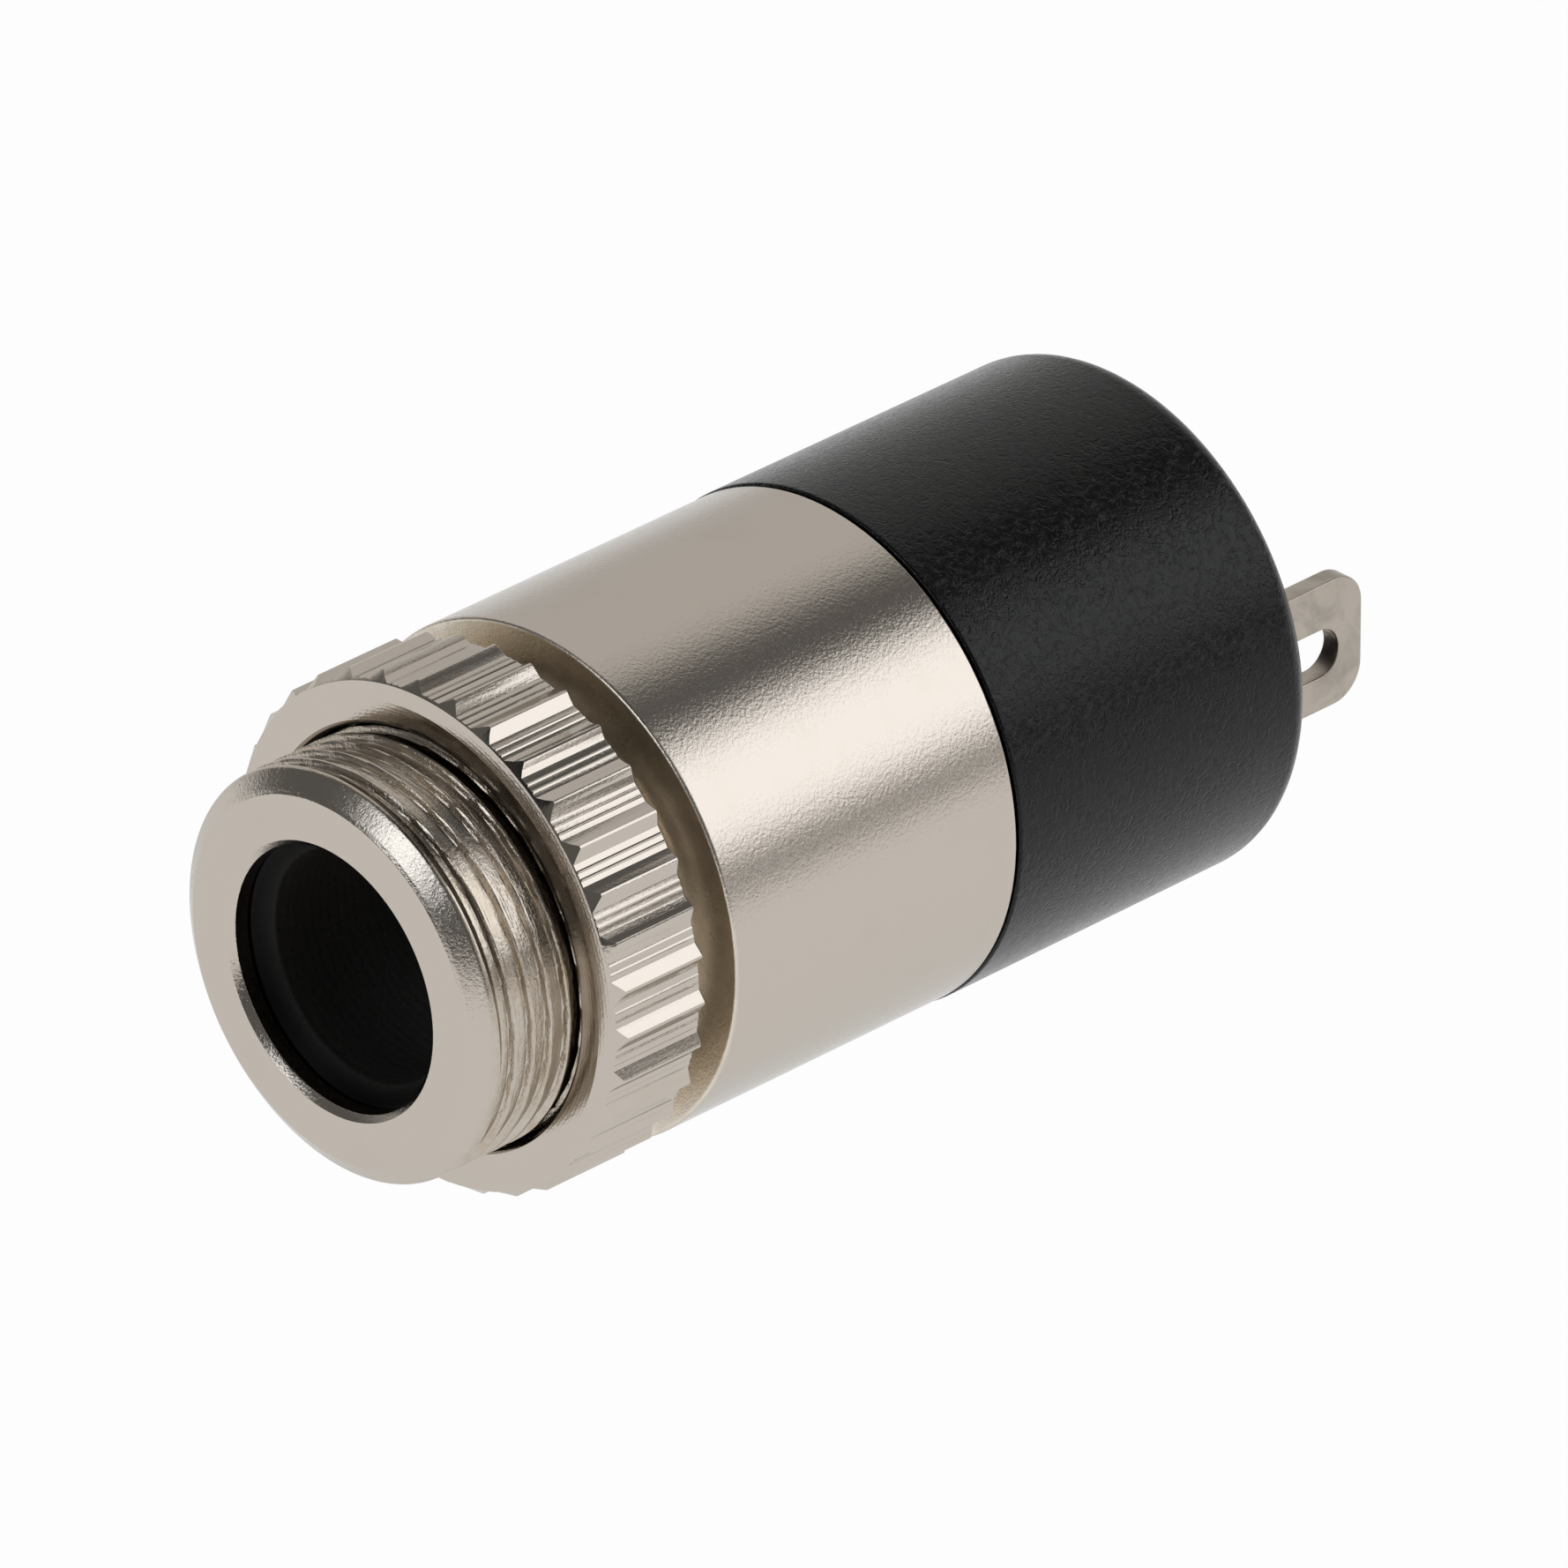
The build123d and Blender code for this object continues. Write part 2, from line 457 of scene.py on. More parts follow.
class Paint:
    """A node tree that is built up one node at a time."""

    def __init__(self, tree):
        self.tree = tree
        tree.nodes.clear()

    def node(self, kind, settings=None, inputs=None, output=0):
        """A new node with its settings and its inputs, given back as one of its outputs."""
        made = self.tree.nodes.new(kind)
        for name, value in (settings or {}).items():
            setattr(made, name, value)
        for name, value in (inputs or {}).items():
            if isinstance(value, Number):
                self.tree.links.new(value.socket, made.inputs[name])
            else:
                made.inputs[name].default_value = value
        return Number(self, made.outputs[output]) if made.outputs else None

    def place(self, stretch=(1000.0, 1000.0, 1000.0)):
        """Where a point lies on the piece, in millimetres unless stretched."""
        spot = self.node("ShaderNodeTexCoord", output="Object")
        return self.node("ShaderNodeVectorMath", {"operation": "MULTIPLY"}, {0: spot, 1: stretch})

    def parts(self, vector):
        """The three numbers of a vector."""
        split = self.node("ShaderNodeSeparateXYZ", None, {0: vector})
        return [split.beside(place) for place in range(3)]

    def spread(self, where):
        """How far a point lies from the jack's axis, and how far along it."""
        across, along, up = self.parts(where)
        return (across * across + up * up) ** 0.5, along

    def facing(self):
        """1 where a surface looks straight along the jack's axis, 0 where it looks out sideways."""
        return abs(self.parts(self.node("ShaderNodeNewGeometry", output="Normal"))[1])

    def rings(self, run, pitch, waver):
        """Fine rings from 0 to 1, one to each pitch of the run, bent by the waver."""
        return (run * 2 * pi / pitch + waver).wave() * 0.5 + 0.5

    def noise(self, where, scale, detail=2.0, rough=0.5, bend=0.0):
        """Soft random patches, scale of them to a millimetre."""
        return self.node("ShaderNodeTexNoise", None, {
            "Vector": where, "Scale": scale, "Detail": detail, "Roughness": rough,
            "Distortion": bend})

    def between(self, value, low, high, start=0.0, end=1.0):
        """The value's run from low to high, eased into a run from start to end."""
        return self.node("ShaderNodeMapRange", {"interpolation_type": "SMOOTHSTEP"}, {
            "Value": value, "From Min": low, "From Max": high, "To Min": start, "To Max": end})

    def mixed(self, factor, first, second):
        """One colour turning into another, through a Mix node's colour sockets."""
        return self.node("ShaderNodeMix", {"data_type": "RGBA"}, {0: factor, 6: first, 7: second}, 2)

    def bump(self, height, distance):
        """A surface raised by the distance, in metres, for each 1 of the height."""
        return self.node("ShaderNodeBump", None, {
            "Strength": 1.0, "Distance": distance, "Height": height})

    def surface(self, **inputs):
        """The finished surface, wired to the material's output."""
        named = {name.replace("_", " ").title().replace("Ior", "IOR"): value
                 for name, value in inputs.items()}
        shader = self.node("ShaderNodeBsdfPrincipled", None, named)
        self.node("ShaderNodeOutputMaterial", None, {"Surface": shader})


def new_paint(name):
    """An empty material and the paint that fills it."""
    material = bpy.data.materials.new(name)
    material.use_nodes = True
    return material, Paint(material.node_tree)


def scaled(colour, factor):
    """The colour made brighter or darker by the factor."""
    return tuple(min(1.0, level * factor) for level in colour[:3]) + (1.0,)


def plated(paint, relief, stain, grime, fresh, dull):
    """Nickel over a relief, browned by the stain, lightened by painted light and blackened by painted
    shade.
    """
    finish = bpy.context.scene.jack_finish
    where = paint.place()
    drift = paint.noise(where, 1.1, 3.0, 0.6)
    blush = paint.between(drift, 0.52, 0.8) * 0.12
    worn = paint.mixed((stain + blush).least(1.0), tuple(finish.nickel), tuple(finish.tarnish))
    # Lightened towards the pale colour where painted light is asked for
    worn = paint.mixed(fresh, worn, tuple(finish.fresh))
    paint.surface(
        # Blackened towards near-black where painted shade is asked for
        base_color=paint.mixed(grime, worn, tuple(finish.grime)),
        metallic=1.0,
        specular_tint=(0.8, 0.8, 0.8, 1.0),
        roughness=finish.gloss + drift * 0.05 + dull * 0.16 + grime * 0.3,
        normal=paint.bump(relief, PLATING_RELIEF))


def shell_plate():
    """Nickel with a fine peel on the body, turning marks on its faces, a grainy, browned thread and
    painted light in the corner behind the nut.
    """
    shell = sizes("jack_shell")
    front, neck_r = -shell.neck_len, shell.neck_d / 2
    material, paint = new_paint("shell plate")
    where = paint.place()
    radius, along = paint.spread(where)
    flat = paint.between(paint.facing(), 0.9, 0.99)
    peel = paint.noise(where, 17.0, 3.0, 0.7)
    marks = paint.rings(radius, 0.045, peel * 2.0) * flat
    thread = paint.between(along, front + 0.17, front + 0.33) * paint.between(along, 0.0, -0.05)
    thread = thread * paint.between(radius, neck_r - 0.38, neck_r - 0.28)
    thread = thread * paint.between(radius, neck_r + 0.22, neck_r + 0.12)
    lead = paint.between(along, front + 0.31, front + 0.23)
    lead = lead * paint.between(radius, neck_r - 0.34, neck_r - 0.28)
    patch = paint.between(paint.noise(where, 2.2, 4.0, 0.65, 0.8), 0.38, 0.66)
    grain = paint.noise(where, 30.0, 3.0, 0.65)
    corner = paint.between(along, -0.5, -0.2) * paint.between(along, 0.06, 0.0)
    lines = paint.noise(paint.place((60.0, 1000.0, 60.0)), 22.0, 2.0, 0.6)
    # Browned plating over the thread and the relief behind the nut: tarnish on the thread, and painted
    # warm reflection in the relief
    stain = thread * (patch * 0.6 + paint.between(lines, 0.45, 0.7) * 0.4 + 0.1)
    wear = paint.noise(paint.place((350.0, 1000.0, 350.0)), 7.0, 3.0, 0.6)
    relief = peel * 2.8 + marks * 0.15 + thread * (wear * 3.2 + lines * 1.6 + grain * 0.8)
    relief = relief + lead * (wear * 2.0 + grain * 1.2 + lines * 1.2)
    # Painted light: the corner behind the nut is lightened to make up for the light it lacks there
    fresh = corner * (patch * 0.25 + 0.4)
    plated(paint, relief, stain=stain.least(1.0), grime=0.0, fresh=fresh, dull=corner)
    return material


def nut_plate():
    """Nickel drawn into fine lines along the flutes, with painted shade in its bore and painted light
    on its rear face.
    """
    nut_rear, bore = -sizes("jack_nut").gap, sizes("jack_shell").neck_d / 2 + PLAY
    material, paint = new_paint("nut plate")
    where = paint.place()
    radius, along = paint.spread(where)
    facing = paint.facing()
    side = paint.between(facing, 0.35, 0.1)
    peel = paint.noise(where, 15.0, 2.0, 0.55)
    lines = paint.noise(paint.place((1000.0, 45.0, 1000.0)), 13.0, 3.0, 0.6)
    grain = paint.noise(where, 34.0, 2.0, 0.6)
    flat = paint.between(facing, 0.8, 0.95)
    marks = paint.rings(radius, 0.055, peel * 4.0) * flat
    relief = peel * 0.8 + side * lines * 1.3 + grain * 0.6 + marks * 0.15
    stain = paint.between(lines, 0.5, 0.75) * side * 0.25
    # Painted shade: the bore is blackened to stand for the shadow in the gap between neck and nut
    bore_shade = paint.between(radius, bore + 0.045, bore + 0.02)
    # Painted light: the nut's rear face, which the shoulder reflects, is lightened; it is also made
    # duller
    rear = paint.between(along, nut_rear - 0.13, nut_rear - 0.03) * flat
    plated(paint, relief, stain=stain, grime=bore_shade, fresh=rear, dull=rear)
    return material


def barrel_plastic():
    """Matt black moulding with a wavy, leathery grain."""
    finish = bpy.context.scene.jack_finish
    material, paint = new_paint("barrel plastic")
    where = paint.place()
    fibre = paint.noise(where, 6.5, 2.0, 0.5, 1.6)
    ridge = 1 - abs(fibre * 2 - 1)
    fine = paint.noise(where, 22.0, 2.0, 0.6)
    worn = paint.noise(where, 0.7, 2.0)
    base = tuple(finish.barrel)
    paint.surface(
        base_color=paint.mixed(ridge ** 6 * 0.5 + worn * 0.2, base, scaled(base, 2.2)),
        roughness=0.15 + fine * 0.10 + worn * 0.05,
        ior=1.32,
        normal=paint.bump(ridge + fine * 0.1, 0.000011))
    return material


def carrier_plastic():
    """Smooth black moulding with faint ring marks from its mould pin, and painted light deeper in its
    bore.
    """
    finish = bpy.context.scene.jack_finish
    material, paint = new_paint("carrier plastic")
    where = paint.place()
    along = paint.parts(where)[1]
    drift = paint.noise(where, 2.0, 2.0)
    rings = paint.rings(along, 0.16, drift * 5.0)
    fine = paint.noise(where, 16.0, 2.0)
    # Painted light: the bore's wall gets lighter further in, where little light reaches, mottled by
    # faint rings and specks
    inside = paint.between(along, -3.75, -3.45) * 0.35 + paint.between(along, -3.2, -1.0) * 0.6
    painted_bore_light = inside * (rings * 0.12 + fine * 0.6 + 0.38)
    base = tuple(finish.carrier)
    paint.surface(
        base_color=paint.mixed(painted_bore_light, base, scaled(base, 75.0)),
        roughness=0.42 + fine * 0.15,
        ior=1.2,
        normal=paint.bump(rings * 0.2 + fine * 0.5, 0.000003))
    return material


def contact_metal():
    """Tinned brass strip with a rolled grain, dull patches and small marks."""
    finish = bpy.context.scene.jack_finish
    material, paint = new_paint("contact metal")
    where = paint.place()
    streaks = paint.noise(paint.place((9000.0, 1500.0, 9000.0)), 1.6, 3.0, 0.6)
    peel = paint.noise(where, 11.0, 2.0, 0.6)
    patch = paint.noise(where, 1.6, 3.0, 0.6, 0.6)
    dull = paint.between(patch, 0.42, 0.72) * 0.7 + streaks * 0.15
    base = tuple(finish.lug)
    paint.surface(
        base_color=paint.mixed(dull, base, scaled(base, 0.72)),
        metallic=1.0,
        roughness=0.27 + peel * 0.12 + paint.between(patch, 0.4, 0.8) * 0.10,
        normal=paint.bump(peel * 0.6 + streaks * 0.4, 0.0000024))
    return material


MATERIALS = {}


def material_of(maker):
    """The maker's material, made once."""
    if maker not in MATERIALS:
        MATERIALS[maker] = maker()
    return MATERIALS[maker]


# Pieces

def rear_face():
    """The station of the barrel's rear face."""
    shell, barrel = sizes("jack_shell"), sizes("jack_barrel")
    return shell.body_len + barrel.seam + barrel.body_len


def strip_heights():
    """How far out a contact strip's inner face and its middle lie."""
    contact = sizes("jack_contacts")
    outer = (CAVITY_R ** 2 - (contact.strip_w / 2) ** 2) ** 0.5 - PLAY
    return outer - contact.strip_t, outer - contact.strip_t / 2


class JACK_OT_shell(bpy.types.Operator):
    """Turn the metal shell, with its thread cut as a true helix"""
    bl_idname = "jack.shell"
    bl_label = "Shell"

    def execute(self, context):
        shell = sizes("jack_shell")
        front = -shell.neck_len
        neck_r, body_r, mouth_r = shell.neck_d / 2, shell.body_d / 2, shell.mouth_d / 2
        lead_end = front + shell.lead_len
        line = rounded([
            (mouth_r + MOUTH_SINK, front, 0.02),
            (shell.face_d / 2, front, 0.07),
            (neck_r, lead_end, 0.11),
            (neck_r, -RELIEF_LEN, 0.03),
            (neck_r - RELIEF_DEPTH, RELIEF_DEPTH - RELIEF_LEN, 0.03),
            (neck_r - RELIEF_DEPTH, 0, 0.02),
            (body_r, 0, shell.shoulder_round),
            (body_r, shell.body_len, 0.05),
            (body_r - SHELL_WALL, shell.body_len, 0.02),
            (body_r - SHELL_WALL, WEB, 0.02),
            (NOSE_BORE_R, WEB, 0.02),
            (NOSE_BORE_R, front + LIP_LEN, 0.01),
            (mouth_r, front + LIP_LEN, 0.02),
            (mouth_r, front + MOUTH_SINK, 0.03),
        ], steps=5)
        rows_per_turn = 28
        line = divided(line, shell.pitch / rows_per_turn,
                       lambda point: point.x > neck_r - NEAR and point.y < 0.01 - RELIEF_LEN)
        mesh = turned(line, 256, reshape=self.thread(shell, neck_r, front, lead_end))
        finished(mesh, "shell", "socket", material_of(shell_plate))
        return {"FINISHED"}

    def thread(self, shell, neck_r, front, lead_end):
        """A function that cuts the neck's radius by a right-handed thread, faded at both ends."""
        crest_behind_front, crest_angle = 0.995, radians(20)
        crest_half, flank = 0.02, 0.055
        run_in, run_out = 0.2, 0.15
        first_crest = front + crest_behind_front + shell.pitch * crest_angle / (2 * pi)

        def threaded(radius, station, angle):
            if radius < neck_r - NEAR or station > -RELIEF_LEN:
                return radius
            turn = (station - first_crest) / shell.pitch + angle / (2 * pi)
            from_crest = abs((turn + 0.5) % 1 - 0.5) * shell.pitch
            begun = max(0.0, (station - lead_end) / run_in)
            left = max(0.0, (-RELIEF_LEN - station) / run_out)
            fade = min(1.0, begun, left)
            return radius - shell.depth * fade * eased((from_crest - crest_half) / flank)

        return threaded


class JACK_OT_ring_nut(bpy.types.Operator):
    """Cut the knurled ring nut, tooth by tooth"""
    bl_idname = "jack.ring_nut"
    bl_label = "Ring nut"

    def execute(self, context):
        nut, shell = sizes("jack_nut"), sizes("jack_shell")
        chance = random.Random(7)
        outer, rear = nut.outer_d / 2, -nut.gap
        front = rear - nut.width
        bore = shell.neck_d / 2 + PLAY
        columns = []
        for flute in range(nut.flutes):
            for across, down in self.profile(nut, chance):
                angle = nut.turn + 2 * pi * flute / nut.flutes + across / outer
                columns.append(self.column(nut, shell, angle, outer - down, front, rear, bore))
        mesh = skinned(columns, True)
        finished(mesh, "ring_nut", "nut", material_of(nut_plate), 28)
        return {"FINISHED"}

    def profile(self, nut, chance):
        """One flute as points of (across, down), with half a tooth on either side."""
        def differ(value):
            return value * (1 + nut.wander * chance.uniform(-1, 1))

        crest_half, crest_round, flank_round = 0.02, 0.008, 0.015
        line_half, line_round = 0.025, 0.006
        half = pi * nut.outer_d / 2 / nut.flutes
        depth = differ(nut.depth)
        left, right = half - differ(nut.foot), half - differ(nut.foot)
        points = [(-half, 0, 0), (-half + crest_half, 0, crest_round),
                  (-(half + left) / 2, differ(depth * 0.5), flank_round),
                  (-left, depth, flank_round)]
        for middle in (differ(-0.07), differ(0.06)):
            points += [(middle - line_half, depth, line_round),
                       (middle, depth - differ(nut.line), line_round),
                       (middle + line_half, depth, line_round)]
        points += [(right, depth, flank_round),
                   ((half + right) / 2, differ(depth * 0.5), flank_round),
                   (half - crest_half, 0, crest_round), (half, 0, 0)]
        return rounded(points, steps=2, closed=False)[:-1]

    def column(self, nut, shell, angle, outer, front, rear, bore):
        """The nut's outline at one angle, where its teeth reach out to the outer radius."""
        bore_sink, bore_sink_len, rear_edge = 0.07, 0.06, 0.03
        flute_zone, floor_rise = 0.14, 0.05
        floor = nut.outer_d / 2 - flute_zone
        rise = floor_rise + (outer - floor) / flute_zone * (nut.lead_len - floor_rise)
        steps = 3
        line = rounded([
            (bore + bore_sink, front, 0.015),
            (nut.face_d / 2, front, 0.03),
            (floor, front + floor_rise, 0.004),
            (outer, front + rise, 0.006),
            (outer, rear - rear_edge, 0.02),
            (outer - rear_edge, rear, 0.01),
            (bore + bore_sink, rear, 0.015),
            (bore, rear - bore_sink_len, 0.01),
            (bore, front + bore_sink_len, 0.01),
        ], steps=steps)
        last_corner = len(line) - steps - 1
        start, end = line[last_corner - 1], line[last_corner]
        rows = 30
        line[last_corner:last_corner] = [start.lerp(end, row / rows) for row in range(1, rows)]
        groove_depth, plain_end = 0.08, 0.1
        column = []
        for radius, station in line:
            if radius < bore + NEAR and front + plain_end < station < rear - plain_end:
                turn = station / shell.pitch + angle / (2 * pi)
                radius += groove_depth * sin(pi * turn) ** 2
            column.append((radius * cos(angle), station, radius * sin(angle)))
        return column


class JACK_OT_barrel(bpy.types.Operator):
    """Mould the rear barrel, slotted for the three lugs"""
    bl_idname = "jack.barrel"
    bl_label = "Barrel"

    def execute(self, context):
        shell, barrel, contact = sizes("jack_shell"), sizes("jack_barrel"), sizes("jack_contacts")
        front, rear = shell.body_len + barrel.seam, rear_face()
        spigot = shell.body_d / 2 - SHELL_WALL - SPIGOT_PLAY
        line = rounded([
            (0, rear - REAR_WALL, 0),
            (CAVITY_R, rear - REAR_WALL, 0.03),
            (CAVITY_R, front - SPIGOT_LEN, 0.02),
            (spigot, front - SPIGOT_LEN, 0.05),
            (spigot, front, 0.01),
            (barrel.front_d / 2, front, 0.05),
            (barrel.rear_d / 2, rear, barrel.rear_round),
            (0, rear, 0),
        ], steps=8, closed=False)
        mesh = turned(line, 256, closed=False)
        middle = strip_heights()[1]
        across, reach = contact.strip_t / 2 + PLAY, REAR_WALL + PLAY
        slot = [(middle - across, rear - reach), (middle + across, rear - reach),
                (middle + across, rear + reach), (middle - across, rear + reach)]
        cutters = [plate([slot], contact.lug_w + 2 * PLAY, NEAR, side_plane(angle))
                   for station, angle in CONTACTS.values()]
        mesh = combined(mesh, cutters, "DIFFERENCE")
        finished(mesh, "barrel", "socket", material_of(barrel_plastic))
        return {"FINISHED"}


class JACK_OT_contact_carrier(bpy.types.Operator):
    """Mould the carrier inside, with a guide bore and a window for each contact"""
    bl_idname = "jack.contact_carrier"
    bl_label = "Contact carrier"

    def execute(self, context):
        shell, barrel, contact = sizes("jack_shell"), sizes("jack_barrel"), sizes("jack_contacts")
        nose = -shell.neck_len + LIP_LEN + PLAY
        flange_end = shell.body_len + barrel.seam - SPIGOT_LEN - PLAY
        end = rear_face() - REAR_WALL - PLAY
        flange = shell.body_d / 2 - SHELL_WALL - PLAY
        line = rounded([
            (0, end - END_WALL, 0),
            (PLUG_SPACE_R, end - END_WALL, 0.05),
            (PLUG_SPACE_R, WEB, 0.03),
            (GUIDE_R, WEB, 0.03),
            (GUIDE_R, nose + GUIDE_LEAD, 0.08),
            (GUIDE_R + GUIDE_LEAD, nose, 0.04),
            (NOSE_BORE_R - PLAY, nose, 0.04),
            (NOSE_BORE_R - PLAY, WEB, 0.02),
            (flange, WEB, 0.04),
            (flange, flange_end, 0.04),
            (CAVITY_R - PLAY, flange_end, 0.02),
            (CAVITY_R - PLAY, end, 0.05),
            (0, end, 0),
        ], steps=5, closed=False)
        mesh = turned(line, 192, closed=False)
        groove_floor = strip_heights()[0] - PLAY
        outside, past_end = 4.2, end + 0.01
        cutters = []
        for station, angle in CONTACTS.values():
            touch = station - shell.neck_len
            start, finish = touch - ARM_TIP_LEN - contact.strip_t, touch + ARM_LEN
            window = [(NEAR, start), (outside, start), (outside, past_end),
                      (groove_floor, past_end), (groove_floor, finish), (NEAR, finish)]
            cutters.append(plate([window], contact.strip_w + 2 * PLAY, NEAR, side_plane(angle)))
        mesh = combined(mesh, cutters, "DIFFERENCE")
        finished(mesh, "contact_carrier", "socket",
                 material_of(carrier_plastic))
        return {"FINISHED"}


class JACK_OT_contacts(bpy.types.Operator):
    """Stamp and bend the three contacts, with their solder lugs"""
    bl_idname = "jack.contacts"
    bl_label = "Contacts"

    def execute(self, context):
        for name, (station, angle) in CONTACTS.items():
            mesh = combined(self.lug(angle), [self.strip(station, angle)], "UNION")
            finished(mesh, name, "socket", material_of(contact_metal), 34)
        return {"FINISHED"}

    def strip(self, station, angle):
        """The bent strip, from the nose that presses on the plug to the rear wall."""
        contact = sizes("jack_contacts")
        touch = station - sizes("jack_shell").neck_len
        half = contact.strip_t / 2
        middle = strip_heights()[1]
        path = rounded([
            (NOSE_REACH + half + ARM_TIP_RISE, touch - ARM_TIP_LEN, 0),
            (NOSE_REACH + half, touch, ARM_BEND_R),
            (middle, touch + ARM_LEN, ARM_BEND_R),
            (middle, rear_face() - 0.1, 0),
        ], steps=10, closed=False)
        left, right = [], []
        for place, point in enumerate(path):
            run = (path[min(place + 1, len(path) - 1)] - path[max(place - 1, 0)]).normalized()
            out = Vector((-run.y, run.x)) * half
            left.append(point + out)
            right.append(point - out)
        return plate([left + right[::-1]], contact.strip_w, contact.edge, side_plane(angle))

    def lug(self, angle):
        """The flat lug with its rounded corners and slotted eye."""
        contact = sizes("jack_contacts")
        near, tip = rear_face() - REAR_WALL, rear_face() + contact.lug_len
        half, corner = contact.lug_w / 2, contact.lug_round
        outline = rounded([(-half, near, 0.2), (half, near, 0.2), (half, tip, corner),
                           (-half, tip, corner)], steps=14)
        eye_tip = tip - EYE_MARGIN
        eye_start = eye_tip - contact.eye_len
        low, high = contact.eye_drop - contact.eye_w / 2, contact.eye_drop + contact.eye_w / 2
        round_end = contact.eye_w / 2 * 0.999
        eye = rounded([(low, eye_start, round_end), (high, eye_start, round_end),
                       (high, eye_tip, round_end), (low, eye_tip, round_end)], steps=14)
        height = strip_heights()[1]
        return plate([outline, eye], contact.strip_t, contact.edge, lug_plane(angle, height))


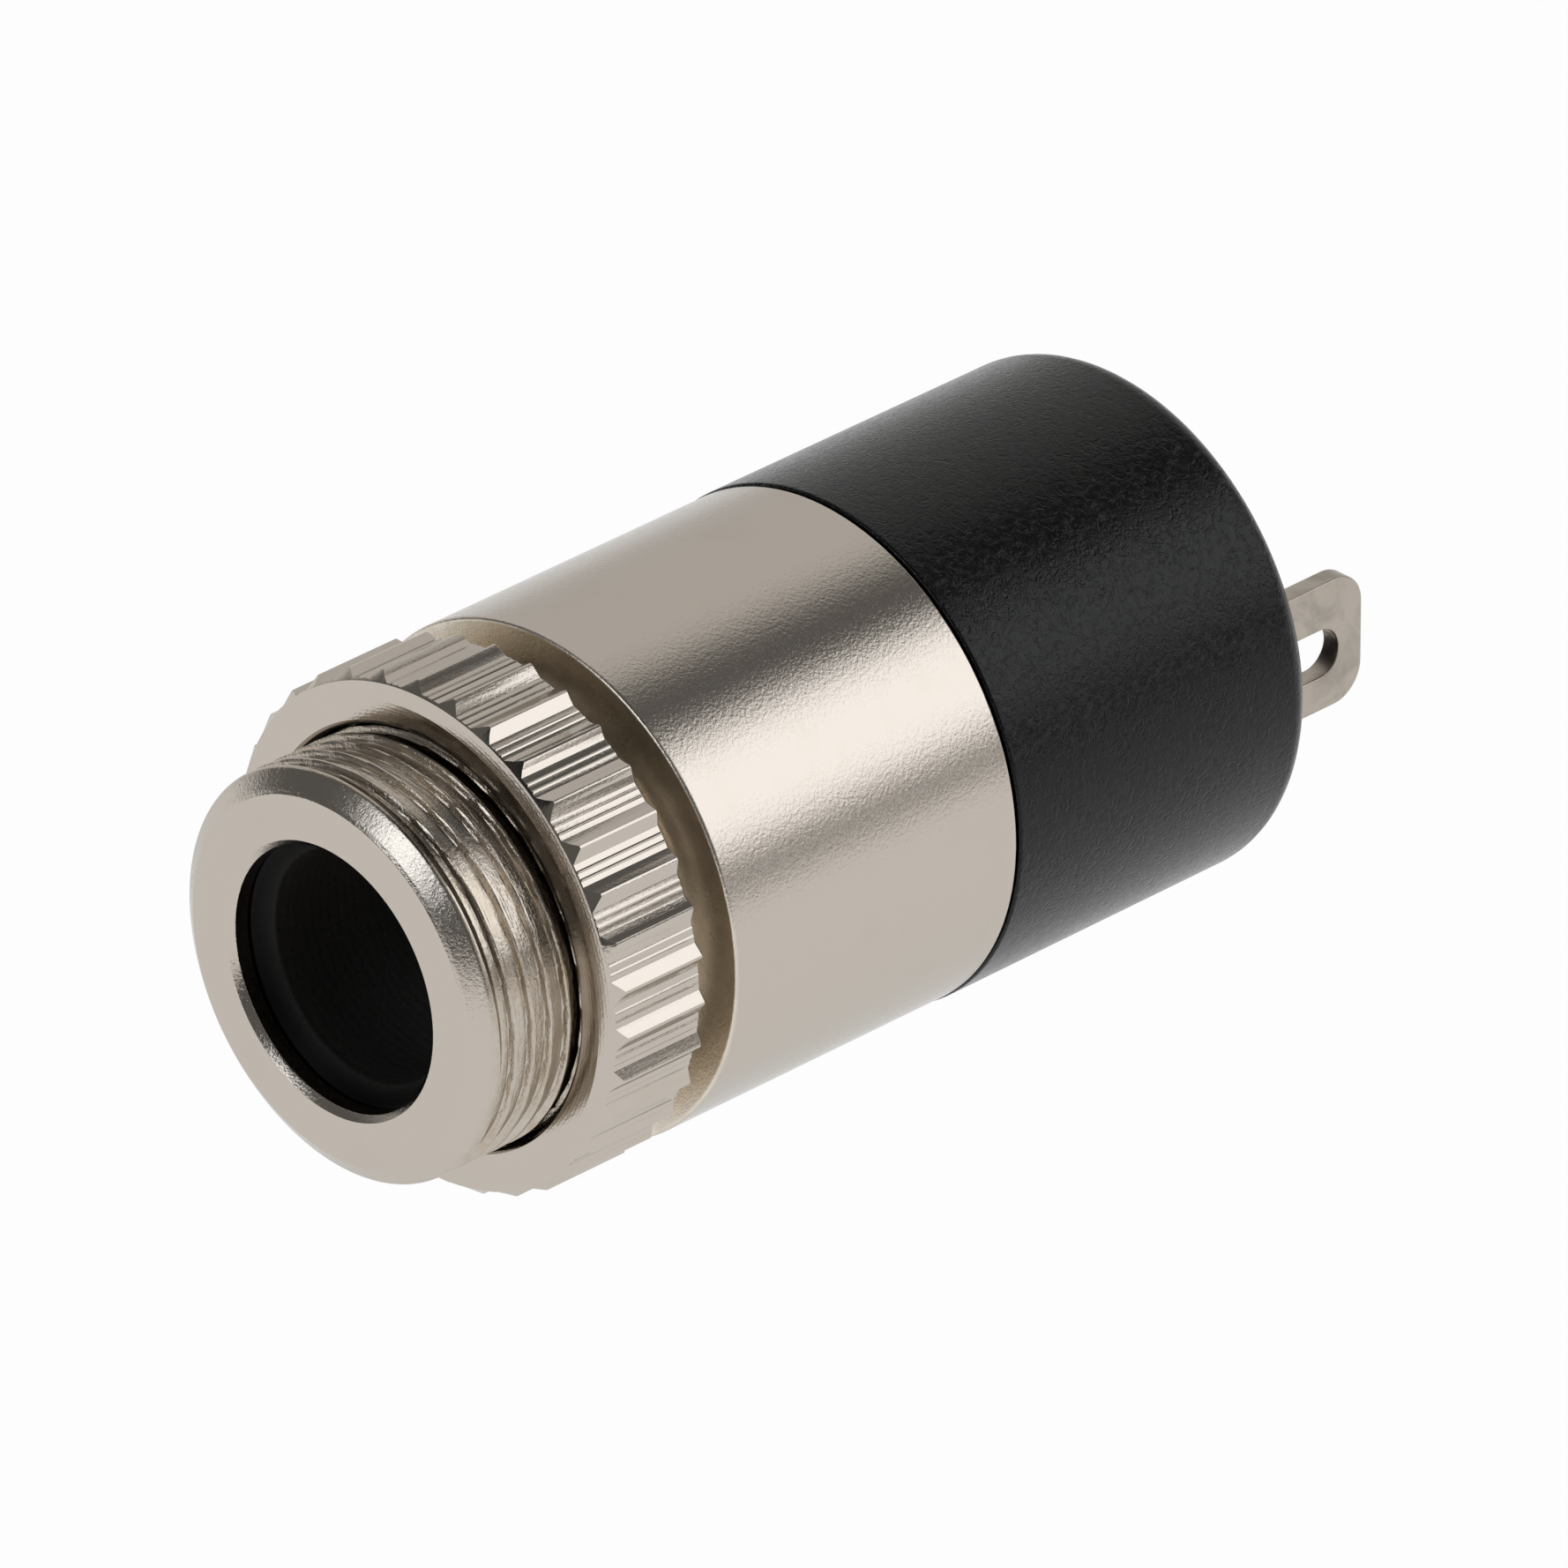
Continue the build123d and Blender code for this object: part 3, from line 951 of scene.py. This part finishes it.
class JACK_OT_stage(bpy.types.Operator):
    """Lay the floor, hang the lights and place the camera"""
    bl_idname = "jack.stage"
    bl_label = "Stage"

    def execute(self, context):
        stage = context.scene.jack_stage
        self.floor(context, stage)
        self.room(context, stage)
        for name, (direction, size, setting) in SOFTBOXES.items():
            self.softbox(context, name, direction, size, getattr(stage, setting))
        self.camera(context, stage)
        context.scene.view_settings.view_transform = "Standard"
        return {"FINISHED"}

    def floor(self, context, stage):
        """A wide pale floor that shows white and keeps the shadow."""
        level = SOLID_BOX[0][2] - stage.drop
        shape = bmesh.new()
        bmesh.ops.create_grid(shape, x_segments=8, y_segments=8, size=1.5,
                              matrix=Matrix.Translation((0, 0, level)))
        floor = bpy.data.objects.new("floor", as_mesh(shape))
        context.collection.objects.link(floor)
        material, paint = new_paint("floor")
        direct = paint.node("ShaderNodeLightPath", output="Is Camera Ray")
        seen = direct.most(direct.beside("Is Glossy Ray")).most(direct.beside("Is Transmission Ray"))
        speck = paint.noise(paint.place(), 0.8, 2.0)
        colour = tuple(stage.floor)
        soft = paint.node("ShaderNodeBsdfPrincipled", None, {
            "Base Color": paint.mixed(speck * 0.06, colour, (0.85, 0.85, 0.85, 1.0)),
            "Roughness": 0.9})
        glow = paint.node("ShaderNodeEmission", None, {
            "Color": (1.0, 1.0, 1.0, 1.0), "Strength": 1.0})
        blend = paint.node("ShaderNodeMixShader", None, {0: seen * 0.97, 1: soft, 2: glow})
        paint.node("ShaderNodeOutputMaterial", None, {"Surface": blend})
        floor.data.materials.append(material)

    def room(self, context, stage):
        """A plain room: pale behind, dark towards the front, low on the right and along a beam."""
        world = bpy.data.worlds.new("room")
        world.use_nodes = True
        context.scene.world = world
        paint = Paint(world.node_tree)
        side, back, up = paint.parts(paint.node("ShaderNodeTexCoord", output="Generated"))
        beam = paint.between(side - up * 0.42, 0.07, -0.07)
        beam = beam * paint.between(side + up * 0.17, -0.12, 0.12)
        low = paint.between(up, 0.14, 0.07) * paint.between(side, 0.0, 0.2) * 0.85
        wall = (1 - beam) * (1 - low)
        level = wall * (stage.room - stage.shade) + stage.shade
        level = level * paint.between(back, -0.3, 0.1, 0.2, 1.0)
        sky = paint.node("ShaderNodeBackground", None, {
            "Color": (1.0, 0.985, 0.965, 1.0), "Strength": level})
        paint.node("ShaderNodeOutputWorld", None, {"Surface": sky})

    def softbox(self, context, name, direction, size, level):
        """A rectangular light of the given brightness, aimed at the jack."""
        lamp = bpy.data.lights.new(name, "AREA")
        lamp.shape = "RECTANGLE"
        lamp.size, lamp.size_y = size
        lamp.energy = level * pi * size[0] * size[1]
        lamp.color = (0.90, 0.94, 1.0)
        holder = bpy.data.objects.new(name, lamp)
        aim = Vector(direction).normalized()
        middle = Vector((0, 0.004, 0))
        holder.location = middle + aim * SOFTBOX_DISTANCE
        holder.rotation_euler = aim.to_track_quat("Z", "Y").to_euler()
        holder.visible_camera = False
        context.collection.objects.link(holder)

    def camera(self, context, stage):
        """The camera, set where the photograph was taken from."""
        turn, lift = stage.azimuth, stage.elevation
        right = Vector((cos(turn), sin(turn), 0))
        up = Vector((-sin(turn) * sin(lift), cos(turn) * sin(lift), cos(lift)))
        ahead = Vector((-sin(turn) * cos(lift), cos(turn) * cos(lift), -sin(lift)))
        lens = bpy.data.cameras.new("camera")
        lens.sensor_width = 36.0
        lens.lens = stage.lens * 1000
        camera = bpy.data.objects.new("camera", lens)
        face = Vector((0, -context.scene.jack_shell.neck_len, 0))
        beside, above = 0.006462, 0.00281
        spot = face + right * beside + up * above - ahead * stage.distance
        camera.matrix_world = Matrix.Translation(spot) @ Matrix(
            (right, up, -ahead)).transposed().to_4x4()
        context.collection.objects.link(camera)
        context.scene.camera = camera


class JACK_PT_sidebar(bpy.types.Panel):
    """Sizes, colours and buttons for the jack"""
    bl_idname = "JACK_PT_sidebar"
    bl_label = "Audio Jack Socket"
    bl_space_type = "VIEW_3D"
    bl_region_type = "UI"
    bl_category = "Jack"

    def draw(self, context):
        for name, group in GROUPS.items():
            box = self.layout.box()
            box.label(text=group.bl_rna.description or name)
            for setting in group.__annotations__:
                box.prop(getattr(context.scene, name), setting)
        for operator in OPERATORS:
            self.layout.operator(operator.bl_idname)


OPERATORS = (JACK_OT_shell, JACK_OT_ring_nut, JACK_OT_barrel, JACK_OT_contact_carrier,
             JACK_OT_contacts, JACK_OT_stage)


def register():
    """Makes the settings, the buttons and the panel known to Blender."""
    for known in (*GROUPS.values(), *OPERATORS, JACK_PT_sidebar):
        bpy.utils.register_class(known)
    for name, group in GROUPS.items():
        setattr(bpy.types.Scene, name, PointerProperty(type=group))


def unregister():
    """Takes away what register made known."""
    for name in GROUPS:
        delattr(bpy.types.Scene, name)
    for known in (JACK_PT_sidebar, *reversed(OPERATORS), *reversed(GROUPS.values())):
        bpy.utils.unregister_class(known)


def main():
    """Builds every piece and the stage."""
    register()
    bpy.ops.jack.shell()
    bpy.ops.jack.ring_nut()
    bpy.ops.jack.barrel()
    bpy.ops.jack.contact_carrier()
    bpy.ops.jack.contacts()
    bpy.ops.jack.stage()


if __name__ == "__main__":
    main()
